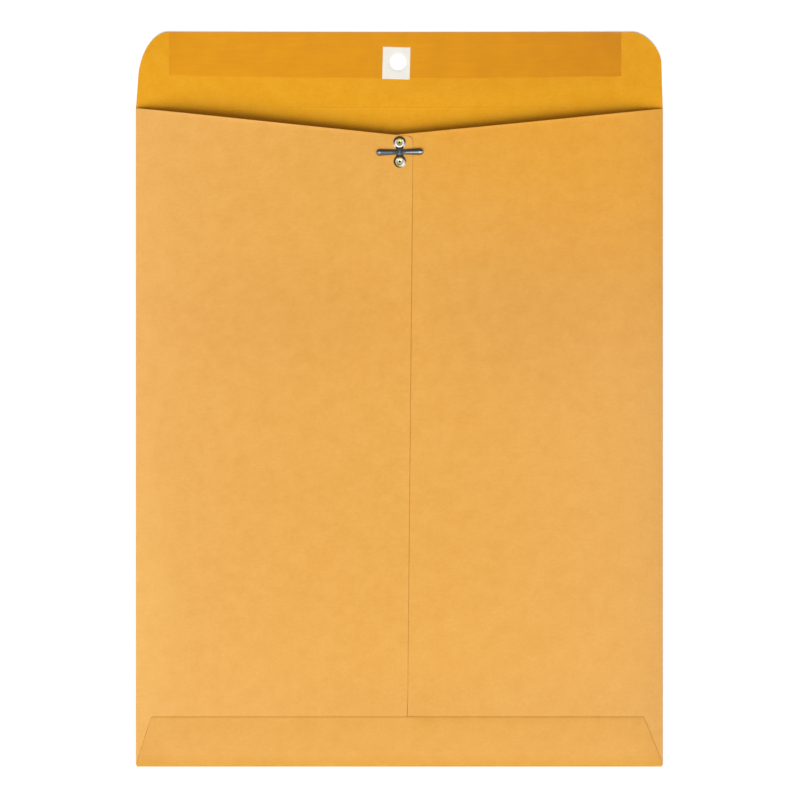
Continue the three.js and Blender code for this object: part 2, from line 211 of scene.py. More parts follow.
def closed_sheet(upper_points, lower_points, keep=None, wrap=False):
    """Points, quads and the kind of each quad: 0 on the upper side, 1 on the lower side, 2 on the rim."""
    rows, columns = upper_points.shape[:2]
    cells = columns if wrap else columns - 1
    keep = np.ones((rows - 1, cells), bool) if keep is None else keep
    upper = np.arange(rows * columns).reshape(rows, columns)
    lower = upper + rows * columns
    r, c = np.nonzero(keep)
    d = (c + 1) % columns
    top = np.stack([upper[r, c], upper[r, d], upper[r + 1, d], upper[r + 1, c]], axis=-1)
    bottom = np.stack([lower[r, c], lower[r + 1, c], lower[r + 1, d], lower[r, d]], axis=-1)
    walls = wall_faces(lower, upper, keep, wrap)
    quads = np.concatenate([top, bottom, walls])
    kinds = np.repeat([0, 1, 2], [len(top), len(bottom), len(walls)])
    points = np.concatenate([upper_points.reshape(-1, 3), lower_points.reshape(-1, 3)])
    used, quads = np.unique(quads, return_inverse=True)
    return points[used], quads.reshape(-1, 4), kinds

def enclosed_volume(points, quads):
    """The volume inside the faces, from the signed pyramids that each half quad makes with the origin."""
    a, b, c, d = (points[quads[:, k]] for k in range(4))
    halves = np.einsum("ij,ij->i", a, np.cross(b, c)) + np.einsum("ij,ij->i", a, np.cross(c, d))
    return halves.sum() / 6

# %% A piece from points and faces
def make_piece(name, points, quads, kinds, finishes, body=None, sharp=40):
    """Puts points in mm and quads into a mesh, turns it right side out, and gives each kind its finish."""
    if enclosed_volume(points, quads) < 0:
        quads = quads[:, ::-1]
    mesh = bpy.data.meshes.new(name)
    mesh.from_pydata((points * MM).tolist(), [], quads.tolist())
    mesh.polygons.foreach_set("material_index", kinds.astype(np.int32))
    mesh.polygons.foreach_set("use_smooth", np.ones(len(quads), bool))
    mesh.set_sharp_from_angle(angle=math.radians(sharp))
    place = mesh.attributes.new("rest_place", "FLOAT_VECTOR", "POINT")
    place.data.foreach_set("vector", (points * MM).astype(np.float32).ravel())
    for finish in finishes:
        mesh.materials.append(finish)
    mesh.update()
    piece = bpy.data.objects.new(name, mesh)
    bpy.context.scene.collection.objects.link(piece)
    if body:
        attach(piece, body)
    print(f"{name}: {len(quads)} quads, {enclosed_volume(points, quads):.1f} mm3")
    return piece

# %% [markdown]
# ## Kraft paper
# Kraft is unbleached, so its colour is never even: it has soft clouds a centimetre across, fine grains, and
# short fibres that lie in two directions. The outside of this sheet is a pale tan and the inside a deep
# mustard. Each finish mixes a paler and a deeper tone by these noises, which raise the surface a little too.
# Over that lie a few broad patches, each with its middle, its reach and its tint; on the outside one of them
# is a painted sheen by the left fold and one a painted shade towards the bottom flap. On the outside, last
# comes a painted sheen of white, stronger towards the sides, weaker towards the top right and along the
# bottom fold. Their places are in metres.

# %% Finish helpers
def weigh(tree, terms, offset):
    """Adds up offset + weight * (value - 0.5) over the terms."""
    total = offset
    for value, weight in terms:
        centred = arithmetic(tree, "MULTIPLY_ADD", value, weight, -0.5 * weight)
        total = arithmetic(tree, "ADD", total, centred)
    return total

def rest_place(tree):
    """Where each point lay when the envelope was at rest."""
    return add(tree, "ShaderNodeAttribute", attribute_name="rest_place").outputs["Vector"]

def noise(tree, place, scale, detail):
    """Soft noise from 0 to 1, finer with a larger scale."""
    return add(tree, "ShaderNodeTexNoise", {"Vector": place, "Scale": scale, "Detail": detail}).outputs[0]

def fibre_noise(tree, place, turn, scale):
    """Noise stretched nine times along one direction, like fibres that lie side by side."""
    laid = add(tree, "ShaderNodeMapping", {"Vector": place, "Rotation": (0, 0, turn), "Scale": (1, 9, 1)})
    return noise(tree, laid.outputs[0], scale, 2.0)

def tone_between(tree, share, deep, pale):
    """Colour between deep at 0 and pale at 1."""
    ramp = add(tree, "ShaderNodeValToRGB", {"Fac": share})
    ramp.color_ramp.elements[0].color = (*deep, 1)
    ramp.color_ramp.elements[1].color = (*pale, 1)
    return ramp.outputs["Color"]

def smooth_share(tree, value, start, end):
    """Goes smoothly from 0 at start to 1 at end."""
    ends = {"Value": value, "From Min": start, "From Max": end}
    return add(tree, "ShaderNodeMapRange", ends, interpolation_type="SMOOTHSTEP").outputs["Result"]

def tinted(tree, share, tone, tint):
    """The tone, multiplied by the tint as far as the share says."""
    mix = {0: share, 6: tone, 7: (*tint, 1)}
    return add(tree, "ShaderNodeMix", mix, data_type="RGBA", blend_type="MULTIPLY").outputs[2]

def dress(tree, shader, tone, height, strength, relief):
    """Links the colour, and lets the height raise the surface by up to relief mm."""
    tree.links.new(tone, shader.inputs["Base Color"])
    bump = add(tree, "ShaderNodeBump", {"Strength": strength, "Distance": relief * MM, "Height": height})
    tree.links.new(bump.outputs["Normal"], shader.inputs["Normal"])

# %% Paper finish
def patchy(tree, place, tone, patches):
    """Tints broad soft patches: each fades smoothly from its middle out to the ellipse of its reach."""
    for middle, reach, tint in patches:
        shrink = 1 / np.array([*reach, np.inf])
        laid = {"Vector": place, "Location": tuple(-shrink * [*middle, 0]), "Scale": tuple(shrink)}
        apart = add(tree, "ShaderNodeMapping", laid).outputs[0]
        apart = add(tree, "ShaderNodeVectorMath", {0: apart}, operation="LENGTH").outputs["Value"]
        tone = tinted(tree, smooth_share(tree, apart, 1.0, 0.0), tone, tint)
    return tone

def with_painted_sheen(tree, place, tone, painted_sheen):
    """Painted sheen: as far as a share that grows along a direction goes, tints the tone and spares some
    white;
    then mixes white in, some everywhere and more with the square of x."""
    along = add(tree, "ShaderNodeVectorMath", {0: place, 1: painted_sheen["toward"]}, operation="DOT_PRODUCT")
    less_sheen = smooth_share(tree, along.outputs["Value"], painted_sheen["start"], painted_sheen["end"])
    x = add(tree, "ShaderNodeSeparateXYZ", {0: place}).outputs["X"]
    square = arithmetic(tree, "MULTIPLY", x, x)
    sides = arithmetic(tree, "MULTIPLY_ADD", square, painted_sheen["sideways"], painted_sheen["everywhere"])
    white = arithmetic(tree, "MULTIPLY_ADD", less_sheen, -painted_sheen["spared"], sides, use_clamp=True)
    mix = {0: white, 6: tinted(tree, less_sheen, tone, painted_sheen["tint"]), 7: (1, 1, 1, 1)}
    return add(tree, "ShaderNodeMix", mix, data_type="RGBA").outputs[2]

def paper_finish(name, deep, pale, roughness=0.62, shine=0.2, grain=0.9, patches=(), painted_sheen=None):
    """Paper between a deep and a pale tone, by clouds, grains and two layers of fibres."""
    material, tree, shader = new_finish(name, roughness, shine)
    place = rest_place(tree)
    clouds, grains = noise(tree, place, 120.0, 4.0), noise(tree, place, 620.0, 2.0)
    long_fibres, cross_fibres = (fibre_noise(tree, place, turn, 260.0) for turn in (0.5, -0.9))
    terms = [(clouds, 1.2), (grains, grain), (long_fibres, 0.6), (cross_fibres, 0.6)]
    tone = patchy(tree, place, tone_between(tree, weigh(tree, terms, 0.5), deep, pale), patches)
    if painted_sheen:
        tone = with_painted_sheen(tree, place, tone, painted_sheen)
    height = weigh(tree, [(grains, 0.6), (long_fibres, 0.8), (cross_fibres, 0.8)], 0.5)
    dress(tree, shader, tone, height, strength=0.25, relief=0.04)
    return material

# %% Kraft colours
def tones(base):
    """A deep and a pale tone round a base colour: blue varies most, red least."""
    base, vary = np.array(base), np.array([0.75, 1.5, 8.0]) * 0.06
    return tuple(base * (1 - vary)), tuple(base * (1 + vary))

outside_base = np.array([0.755, 0.35, 0.031])
inside_base = (0.815, 0.365, 0.0165)
# Painted sheen for the outside: white mixed in, more towards both side folds, less towards the top and least
# on the upper right; along the bottom fold there is less white and a more saturated tint.
back_painted_sheen = {
    "everywhere": 0.027, "sideways": 1.15, "spared": 0.006,
    "tint": (1, 1, 0.95), "toward": (0, 1, 0), "start": 0.0, "end": 0.3,
}
right_painted_sheen = {
    "everywhere": 0.026, "sideways": 1.15, "spared": 0.035,
    "tint": (1, 0.94, 0.5), "toward": (0.6, 1, 0), "start": 0.1, "end": 0.26,
}
low_painted_sheen = {
    "everywhere": 0.016, "sideways": 0.6, "spared": 0.012,
    "tint": (0.97, 0.95, 0.6), "toward": (0, -1, 0), "start": 0.182, "end": 0.189,
}
# Painted shade: the back a little darker towards the bottom flap's edge.
painted_shade_near_bottom_flap = ((0.06, -0.165), (0.32, 0.043), (0.945, 0.95, 0.95))
left_tints_and_painted_light = [
    ((-0.052, 0.07), (0.14, 0.055), (0.97, 0.94, 0.95)),
    # Painted sheen: the back paler by the left fold, mostly below its middle.
    ((-0.156, -0.106), (0.046, 0.14), (1.025, 1.08, 1.08)),
    painted_shade_near_bottom_flap,
]
right_tints_and_painted_shade = [((0.078, 0.079), (0.115, 0.087), (0.945, 0.91, 0.86)), painted_shade_near_bottom_flap]
corner_patches = [
    ((-0.137, 0.231), (0.035, 0.022), (0.94, 0.93, 0.8)),
    ((0.13, 0.231), (0.06, 0.022), (0.94, 0.93, 1.0)),
]
inside_patches = [*corner_patches, ((0.085, 0.211), (0.17, 0.024), (0.925, 0.91, 1.0))]
gum_patches = [*corner_patches, ((0.005, 0.218), (0.12, 0.05), (1.025, 1.05, 1.02))]
outside_tones, low_tones = tones(outside_base), tones(outside_base * 0.93)
glaze, cut_paper = {"roughness": 0.48, "shine": 0.45}, {"roughness": 0.8, "shine": 0.1}
kraft_outside = paper_finish(
    "Kraft outside", *outside_tones, **glaze, patches=left_tints_and_painted_light, painted_sheen=back_painted_sheen
)
kraft_right = paper_finish(
    "Kraft right side", *outside_tones, **glaze, patches=right_tints_and_painted_shade, painted_sheen=right_painted_sheen
)
kraft_low = paper_finish("Kraft bottom flap", *low_tones, **glaze, painted_sheen=low_painted_sheen)
kraft_inside = paper_finish("Kraft inside", *tones(inside_base), shine=0.05, patches=inside_patches)
kraft_edge = paper_finish("Kraft cut edge", *tones((0.86, 0.56, 0.24)), **cut_paper)
# The core tone is darker than the paper, a painted shade on cut edges; the flap core tone is lighter than the
# paper, a painted light on cut edges that face away from the lamps.
kraft_shaded_edge = paper_finish("Kraft shaded edge", *tones((0.62, 0.275, 0.04)), **cut_paper)
kraft_lit_flap_edge = paper_finish("Kraft lit flap edge", *tones((0.93, 0.47, 0.09)), **cut_paper)
krafts = (kraft_outside, kraft_right, kraft_low, kraft_inside, kraft_edge, kraft_shaded_edge, kraft_lit_flap_edge)
print("kraft finishes:", ", ".join(finish.name for finish in krafts))

# %% [markdown]
# ## The shape of the back
# A glued pocket springs open: the paper rises steeply from each folded side and soon levels out. The formula
# is the one the CAD model is built on, an exponential rise from the side folds times another from the bottom
# fold, drawn smooth here instead of in facets. Each layer lies one paper and one glue line over the last.

# %% Sizes of the paper
paper = 0.16
layer_pitch = 0.22
fold_gap = 0.5
pocket_half = 152.4
crease_y = 190.5
bottom_y = -190.5
gape = 5.2
arch_reach = 151.88
belly_start = -189.87
panel_bottom = -189.57
left_fold_x, right_fold_x = -151.88, 151.99
RIGHT_LAYER, LEFT_LAYER, BOTTOM_LAYER = 0.0, 1.0, 2.0
cut_slope = 0.3

def climb(value, start, stop):
    """Straight from 0 at start to 1 at stop, and level beyond them."""
    return np.clip((value - start) / (stop - start), 0, 1)

def risen(distance, reach, run):
    """Share of the full height at a distance from a fold: 1 - exp(-distance / reach), scaled to 1 at run."""
    within = np.clip(distance, 0, run)
    return (1 - np.exp(-within / reach)) / (1 - np.exp(-run / reach))

def side_rise(x):
    """How far the sheet has risen from the nearer side fold."""
    return risen(arch_reach - np.abs(x), 14, 60)

def clasp_calm(x, y):
    """0 under the clasp and 1 a few centimetres away from it, so that the metal lies on level paper."""
    distance = np.hypot(x / 26, (y - 165) / 22)
    return np.clip(distance - 0.6, 0, 1) ** 2

def flutter(x, y):
    """Slow waves of the paper, at most a fifth of a millimetre deep and never above the plain shape."""
    wave = np.sin(x / 31 + 0.7) * np.sin(y / 43 + 1.1) + 0.6 * np.sin(x / 17 - y / 29)
    wave += 0.5 * np.sin(y / 21 + x / 57 + 2.0)
    return -0.05 * (2.1 + wave) * clasp_calm(x, y) * side_rise(x)

def mouth_bulge(x, y):
    """Near the mouth the paper stands up a little more on both sides of the clasp, most on the left."""
    left = 1.25 * np.exp(-(((x + 92) / 44) ** 2)) * np.exp((y - crease_y) / 30)
    right = 0.3 * np.exp(-(((x - 98) / 36) ** 2)) * np.exp((y - crease_y) / 60)
    return (left + right) * clasp_calm(x, y)

def back_height(x, y, layer):
    """Height of a layer's underside over the table."""
    rise = side_rise(x) * risen(y - belly_start, 40, 120)
    shape = paper + fold_gap + (gape - fold_gap) * rise + layer * layer_pitch
    return shape + flutter(x, y) + mouth_bulge(x, y)

print("height of the back in its middle:", round(float(back_height(0, 165, LEFT_LAYER)) + paper, 2), "mm")

# %% [markdown]
# ## The throat and the seam
# The mouth of the pocket is cut in a shallow V, and the left panel's edge runs down the middle as the visible
# seam. The grids' lines follow both, so the cut edges are clean. Round each eyelet a square block of cells is
# bent into a circle, which gives a true round hole with no cutting.

# %% Edges of the panels
throat_x, throat_depth = -2.5, 15.6
fold_end = 0.4
right_drop = 0.3
right_sag = 0.2
left_slope = throat_depth / (pocket_half + throat_x)
right_slope = (throat_depth - right_drop) / (pocket_half - throat_x)
clasp_x, clasp_y, clasp_tilt = 0.2, 165.0, math.radians(1.1)
eyelet_spacing = 11.0
eyelet_hole = 2.2

def throat_left(x):
    """A straight cut from the left corner down to the lowest point of the V."""
    return crease_y - throat_depth - (x - throat_x) * left_slope

def throat_right(x):
    """The right cut sags by a fifth of a millimetre in its middle."""
    share = climb(x, throat_x, pocket_half)
    return crease_y - throat_depth + (x - throat_x) * right_slope - right_sag * np.sin(math.pi * share)

def seam_x(y):
    """The visible seam leans from 4.5 mm right of the middle at the bottom to 8.2 mm at the crease."""
    return 4.5 + (y - bottom_y) / (crease_y - bottom_y) * 3.7

def eyelet_centre(side):
    """Middle of the upper (1) or lower (-1) eyelet."""
    reach = side * eyelet_spacing / 2
    return np.array([clasp_x - reach * math.sin(clasp_tilt), clasp_y + reach * math.cos(clasp_tilt)])

def spread(start, stop, step):
    """Evenly spaced values from start to just before stop, no farther apart than step."""
    count = max(1, math.ceil(abs(stop - start) / step - 1e-9))
    return np.linspace(start, stop, count, endpoint=False)

# %% Round holes in a grid
def open_round_hole(x, y, keep, row, column, inner, outer, centre, radius):
    """Bends the block of cells round a grid point into a circle: inner cells go, outer ones ease back."""
    rows = slice(row - outer, row + outer + 1)
    columns = slice(column - outer, column + outer + 1)
    j, i = np.mgrid[-outer:outer + 1, -outer:outer + 1].astype(float)
    ring = np.maximum(np.abs(i), np.abs(j))
    length = np.maximum(np.hypot(i, j), 1e-9)
    ease = climb(ring, outer, inner)
    x[rows, columns] += ease * (centre[0] + radius * ring / inner * i / length - x[rows, columns])
    y[rows, columns] += ease * (centre[1] + radius * ring / inner * j / length - y[rows, columns])
    keep[row - inner:row + inner, column - inner:column + inner] = False

block, hub, eyelet_step, block_half = 8, 4, 12, 20
cell = eyelet_spacing / (2 * eyelet_step)
block_rows = clasp_y + cell * np.arange(-block_half, block_half + 1)
block_columns = clasp_x + cell * np.arange(-block, block + 1)
lower_rows = np.concatenate([
    spread(panel_bottom, -150, 1.4), spread(-150, -100, 2.2), spread(-100, 130, 3.2),
    spread(130, block_rows[0], 1.6),
])
throat_rows = np.linspace(0, 1, 15)[1:]
panel_rows = len(lower_rows) + len(block_rows) + len(throat_rows)
print("rows of a back panel:", panel_rows)

# %% Back panels
def panel_grid(columns, top_edge, drop_at):
    """x and y of a back panel: rows rise to the throat's line, and the top falls away at a rounded corner."""
    x = np.tile(columns, (panel_rows, 1))
    top = top_edge(columns)
    last = block_rows[-1]
    y = np.concatenate([
        np.tile(np.concatenate([lower_rows, block_rows])[:, None], (1, len(columns))),
        last + throat_rows[:, None] * (top - last)[None, :],
    ])
    falling = np.clip((y - 150) / (top - 150), 0, None)
    return x, y - falling * drop_at(columns)

def back_panel(name, columns, layer, top_edge, drop_at, slide, lift_at):
    """A layer of the back with two eyelet holes; slide leans its grid lines to follow the seam."""
    x, y = panel_grid(columns, top_edge, drop_at)
    x += slide(x, y)
    keep = np.ones((x.shape[0] - 1, x.shape[1] - 1), bool)
    middle_row = len(lower_rows) + block_half
    middle_column = int(np.argmin(np.abs(columns - clasp_x)))
    for side in (-1, 1):
        row = middle_row + eyelet_step * side
        open_round_hole(x, y, keep, row, middle_column, hub, block, eyelet_centre(side), eyelet_hole)
    lower = points_at(x, y, back_height(x, y, layer) + lift_at(x, y))
    upper = lower + [0, 0, paper]
    upper[:, -1, 0] -= cut_slope * (layer == LEFT_LAYER)
    # The left panel's cut rims take the darker core tone, a painted shade that draws the seam's dark line.
    face, rim = (kraft_outside, kraft_shaded_edge) if layer == LEFT_LAYER else (kraft_right, kraft_edge)
    return make_piece(name, *closed_sheet(upper, lower, keep), (face, kraft_inside, rim), "pocket")

def lip(x, y, top_edge):
    """The throat's cut edge curls up a little over its last 3 mm, save at the clasp and the corners."""
    distance = np.clip(top_edge(x) - y, 0, 3) / 3
    return 0.2 * (1 - distance) ** 2 * climb(np.abs(x), 10, 35) * climb(np.abs(x), 150, 130)

def seam_lift(x, y):
    """The seam's edge is free of glue over its last 4 mm and stands a little proud, save under the clasp."""
    distance = np.clip(seam_x(y) - x, 0, 4) / 4
    return 0.12 * (1 - distance) ** 2 * clasp_calm(x, y) * climb(y, -155, -135)

seam_middle = seam_x(clasp_y)
corner_radius = 3.0

def seam_slide(x, y, start, stop):
    """Leans the grid's lines with the seam: not at all at x = start, fully at x = stop."""
    return (seam_x(y) - seam_middle) * climb(x, start, stop)

def rounded_end(distance, radius):
    """Drop of an edge near its rounded end, a quarter circle, at a distance from that end."""
    inside = np.clip(radius - distance, 0, radius)
    return radius - np.sqrt(np.maximum(radius**2 - inside**2, 0))

left_columns = np.concatenate([
    spread(left_fold_x, -118, 1.1), spread(-118, -12, 2.6), spread(-12, block_columns[0], 1.0),
    block_columns, np.linspace(block_columns[-1], seam_middle, 11)[1:],
])
left_panel = back_panel(
    "Left_back_panel", left_columns, LEFT_LAYER, throat_left,
    lambda x: rounded_end(seam_middle - x, corner_radius),
    lambda x, y: seam_slide(x, y, 3.9, seam_middle),
    lambda x, y: lip(x, y, throat_left) + seam_lift(x, y),
)
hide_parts("left_back_panel")

# %% Right back panel
hidden_middle = seam_middle - 16
right_columns = np.concatenate([
    spread(hidden_middle, block_columns[0], 0.9), block_columns,
    spread(block_columns[-1] + 0.8, 118, 2.6), spread(118, right_fold_x, 1.1), [right_fold_x],
])
right_panel = back_panel(
    "Right_back_panel", right_columns, RIGHT_LAYER, throat_right, lambda x: 0 * x,
    lambda x, y: seam_slide(x, y, -3.5, hidden_middle),
    lambda x, y: lip(x, y, throat_right) * (x > 0),
)
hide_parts("right_back_panel")

# %% [markdown]
# ## Folds
# At each side the sheet turns right round in a half ring of paper. It is the same closed sheet, but its two
# grids lie on an inner and an outer half circle, and the other direction of the grid runs along the edge.

# %% Fold strips
def fold_radius(layer):
    """Outer radius of the fold that joins the address panel to a layer of the back."""
    return (2 * paper + fold_gap + layer * layer_pitch) / 2

def fold_arc(radius, lift, steps=14):
    """Half a circle from the table side over the outside to the top: how far out and how high."""
    angle = np.linspace(-math.pi / 2, math.pi / 2, steps + 1)
    return radius * np.cos(angle), lift + radius * np.sin(angle)

def side_fold(name, node, fold_x, outward, layer):
    """A half ring carried along Y from the bottom of the panels to the throat's corner."""
    outer = fold_radius(layer)
    length = np.linspace(panel_bottom, crease_y - fold_end, 60)[:, None]
    sides = []
    for radius in (outer, outer - paper):
        out, up = fold_arc(radius, outer)
        sides.append(points_at(fold_x + outward * out, length, up))
    face = kraft_outside if outward < 0 else kraft_right
    piece = make_piece(name, *closed_sheet(*sides), (face, kraft_inside, kraft_edge), "pocket")
    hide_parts(node)

side_fold("Left_side_fold", "left_side_fold", left_fold_x, -1, LEFT_LAYER)
side_fold("Right_side_fold", "right_side_fold", right_fold_x, 1, RIGHT_LAYER)

# %% Bottom fold
bottom_outer = fold_radius(BOTTOM_LAYER)
across = np.linspace(-arch_reach, arch_reach, 90)
bottom_sides = []
for radius in (bottom_outer, bottom_outer - paper):
    out, up = fold_arc(radius, bottom_outer)
    bottom_sides.append(points_at(across, belly_start - out[:, None], up[:, None]))
bottom_fold = make_piece(
    "Bottom_fold", *closed_sheet(*bottom_sides), (kraft_low, kraft_inside, kraft_edge), "pocket"
)
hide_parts("bottom_fold")

# %% [markdown]
# ## Address panel, bottom flap and glue
# The address panel lies flat. The bottom flap is folded up over both panels and glued down, so it follows the
# back's shape one layer higher. The dried glue under it and under the seam is a thin film between the sheets.

# %% Address panel
front_columns = np.linspace(left_fold_x, right_fold_x, 60)
front_rows = np.concatenate([np.linspace(belly_start, 170, 50), np.linspace(172, crease_y - 0.5, 16)])
front_low = points_at(front_columns, front_rows[:, None], 0.0)
front_panel = make_piece(
    "Address_panel", *closed_sheet(front_low + [0, 0, paper], front_low),
    (kraft_inside, kraft_outside, kraft_edge), "pocket",
)
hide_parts("front_panel")

# %% Bottom flap
low_flap_top = bottom_y + 29.2
shoulder_y = bottom_y + 3
left_inset, right_inset, low_corner = 8.9, 11.0, 0.6

def slant(inset, y):
    """How far the flap's side has come in at a height: nothing up to the shoulder, then a straight slant."""
    start = pocket_half - arch_reach
    return start + climb(y, shoulder_y, low_flap_top) * (inset - start)

shares = np.concatenate([spread(0, 0.012, 0.001), spread(0.012, 0.988, 0.008), np.linspace(0.988, 1, 13)])
levels = np.concatenate([
    spread(belly_start, shoulder_y, 0.8), spread(shoulder_y, low_flap_top, 1.3), [low_flap_top],
])
low_y = levels[:, None]
left_edge, right_edge = slant(left_inset, low_y) - pocket_half, pocket_half - slant(right_inset, low_y)
low_x = left_edge + shares * (right_edge - left_edge)
top_row = low_x[-1]
drop = rounded_end(top_row - top_row[0], low_corner) + rounded_end(top_row[-1] - top_row, low_corner)
low_y = low_y - drop * climb(low_y, shoulder_y, low_flap_top) ** 4
last_5_mm = climb(low_y, low_flap_top - 5, low_flap_top) ** 2
past_seam = climb(low_x - seam_x(low_flap_top), 1.5, 5)
low_z = back_height(low_x, low_y, BOTTOM_LAYER) + last_5_mm * (0.02 - 0.2 * past_seam)
bottom_low = points_at(low_x, low_y, low_z)
bottom_high = bottom_low + [0, 0, paper]
bottom_high[:, 0, 0] += cut_slope
bottom_high[:, -1, 0] -= cut_slope
bottom_high[-1, :, 1] -= cut_slope
points, quads, kinds = closed_sheet(bottom_high, bottom_low)
middle = points[quads].mean(axis=1)
on_left = middle[:, 0] < slant(left_inset, middle[:, 1]) - pocket_half + 0.4
kinds = np.where((kinds == 2) & on_left, 3, kinds)
# The bottom flap's top edge and right slant take the lighter core tone, a painted light, and its left slant
# the darker core tone, a painted shade.
bottom_finishes = (kraft_low, kraft_inside, kraft_lit_flap_edge, kraft_shaded_edge)
bottom_flap = make_piece("Bottom_flap", points, quads, kinds, bottom_finishes, "pocket")
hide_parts("bottom_flap")

# %% Dried glue
def glue_finish():
    """Brown dextrin glue: a smooth film with small bubbles and streaks."""
    material, tree, shader = new_finish("Dried glue", 0.35, 0.5)
    place = rest_place(tree)
    streaks = fibre_noise(tree, place, 0.0, 120.0)
    bubbles = add(tree, "ShaderNodeTexVoronoi", {"Vector": place, "Scale": 700.0}).outputs["Distance"]
    share = weigh(tree, [(streaks, 1.2), (bubbles, 0.6)], 0.5)
    tone = tone_between(tree, share, (0.45, 0.2, 0.03), (0.66, 0.36, 0.1))
    dress(tree, shader, tone, bubbles, strength=0.3, relief=0.02)
    return material

glue = glue_finish()
glue_film, glue_slack = 0.05, 0.005

def glue_layer(name, node, left, right, low, high, lift, columns, rows):
    """A film on the back's shape between x = left(y) and right(y), with a slightly wandering edge."""
    share = np.linspace(0, 1, columns)
    y = np.linspace(low, high, rows)[:, None]
    wander = 0.25 * np.sin(y / 3.1) * np.sin(y / 11.3)
    x = left(y) + wander + share * (right(y) - left(y) - 2 * wander)
    under = points_at(x, y, back_height(x, y, 0) + lift)
    piece = make_piece(name, *closed_sheet(under + [0, 0, glue_film], under), (glue, glue, glue), "pocket")
    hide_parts(node)

glue_layer(
    "Seam_glue", "seam_glue", lambda y: seam_x(y) - 12.5, lambda y: seam_x(y) - 3.5,
    panel_bottom + 3, clasp_y - 14, paper + glue_slack, 10, 150,
)
glue_layer(
    "Bottom_flap_glue", "bottom_flap_glue", lambda y: 0 * y - pocket_half + left_inset + 6,
    lambda y: 0 * y + pocket_half - right_inset - 6, low_flap_top - 20, low_flap_top - 6,
    2 * layer_pitch - glue_film - glue_slack, 120, 14,
)

# %% [markdown]
# ## The seal flap
# The flap is the rest of the same sheet beyond the crease. Its corners are rounded, its edge curls up by less
# than a millimetre, and the hole is a block of cells bent into a circle.

# %% Flap shape
flap_height = 44.0
flap_top = crease_y + flap_height
left_corner_shape = {"taper": 1.3, "width": 16.7, "height": 27.4, "power": 1.84}
right_corner_shape = {"taper": 0.8, "width": 16.7, "height": 18.0, "power": 1.73}
hole_middle = np.array([-0.75, 217.0])
hole_radius = 4.95

def flap_lift(x, y):
    """The free edge's curl: it grows with the cube of the distance from the crease, most at the corners."""
    reach = climb(y, crease_y + 6, flap_top)
    return 0.55 * reach**3 * (0.25 + 0.75 * (x / pocket_half) ** 2)

def crease_ridge(y):
    """The scored line stands up inside as a tiny rounded ridge."""
    return 0.07 * np.exp(-(((y - crease_y) / 0.45) ** 2))

def flap_side(y, taper, width, height, power):
    """Half width at a height: a straight taper, then a corner like a stretched, slightly pointed circle."""
    shoulder = flap_top - height
    tapered = taper * climb(y, crease_y, shoulder)
    up = climb(y, shoulder, flap_top) ** power
    return pocket_half - tapered - width * (1 - (1 - up) ** (1 / power))

hole_hub, hole_block = 6, 14
hole_cells = hole_radius * 0.8 / hole_hub * np.arange(-hole_block, hole_block + 1)
hole_columns, hole_rows = hole_middle[:, None] + hole_cells
flap_rows = np.concatenate([
    spread(crease_y - 0.5, crease_y + 1.1, 0.16), spread(crease_y + 1.1, crease_y + 6, 0.5),
    spread(crease_y + 6, hole_rows[0], 1.4), hole_rows, spread(hole_rows[-1] + 0.6, flap_top - 2, 0.6),
    flap_top - 2 * np.linspace(1, 0, 12) ** 2,
])
side_start, side_width = 130, 22.4
side_columns = side_start + side_width * np.linspace(0, 1, 12)[1:]
flap_columns = np.concatenate([
    -side_columns[::-1], spread(-side_start, hole_columns[0], 2.4), hole_columns,
    spread(hole_columns[-1] + 1.2, side_start, 2.4), [side_start], side_columns,
])
print("flap grid:", len(flap_rows), "x", len(flap_columns))

# %% Flap
flap_x, flap_y = np.meshgrid(flap_columns, flap_rows)
outer_share = climb(np.abs(flap_x), side_start, side_start + side_width)
left_limit, right_limit = flap_side(flap_y, **left_corner_shape), flap_side(flap_y, **right_corner_shape)
limit = np.where(flap_x < 0, left_limit, right_limit)
tapered_x = np.sign(flap_x) * (side_start + outer_share * (limit - side_start))
flap_x = np.where(outer_share > 0, tapered_x, flap_x)
flap_keep = np.ones((flap_x.shape[0] - 1, flap_x.shape[1] - 1), bool)
hole_row = int(np.argmin(np.abs(flap_rows - hole_middle[1])))
hole_column = int(np.argmin(np.abs(flap_columns - hole_middle[0])))
open_round_hole(
    flap_x, flap_y, flap_keep, hole_row, hole_column, hole_hub, hole_block, hole_middle, hole_radius
)
flap_low = points_at(flap_x, flap_y, flap_lift(flap_x, flap_y) + crease_ridge(flap_y))
seal_flap = make_piece(
    "Seal_flap", *closed_sheet(flap_low + [0, 0, paper], flap_low, flap_keep),
    (kraft_inside, kraft_outside, kraft_edge),
)
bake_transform(seal_flap)
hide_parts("seal_flap")

# %% [markdown]
# ## Gum and patch
# A roller lays a band of gum along the flap's edge, and it dries to a smooth film, a little browner than the
# paper. Round the hole a white paper patch is stuck down, turned a degree or two as a machine leaves it. The
# gum stops short of the patch, so its grid has a notch there.

# %% Patch outline
patch_tilt = math.radians(-1.6)
patch_middle = hole_middle + [-0.975, -0.42]
patch_half = np.array([7.93, 9.27])

def turned(points, angle, about):
    """Points turned by an angle round a point, in the plane of the paper."""
    c, s = math.cos(angle), math.sin(angle)
    p = np.asarray(points) - about
    return about + points_at(c * p[..., 0] - s * p[..., 1], s * p[..., 0] + c * p[..., 1])

patch_shift = turned(patch_middle, -patch_tilt, hole_middle) - hole_middle

def patch_edge(angle):
    """Distance to the patch's outline in each direction: one over the largest share of a side's distance."""
    dx, dy = np.cos(angle), np.sin(angle)
    right, left = dx / (patch_half[0] + patch_shift[0]), -dx / (patch_half[0] - patch_shift[0])
    up, down = dy / (patch_half[1] + patch_shift[1]), -dy / (patch_half[1] - patch_shift[1])
    return 1 / np.maximum.reduce([right, left, up, down])

def on_flap(x, y):
    """Points on the flap's inner face."""
    return points_at(x, y, flap_lift(x, y) + paper)

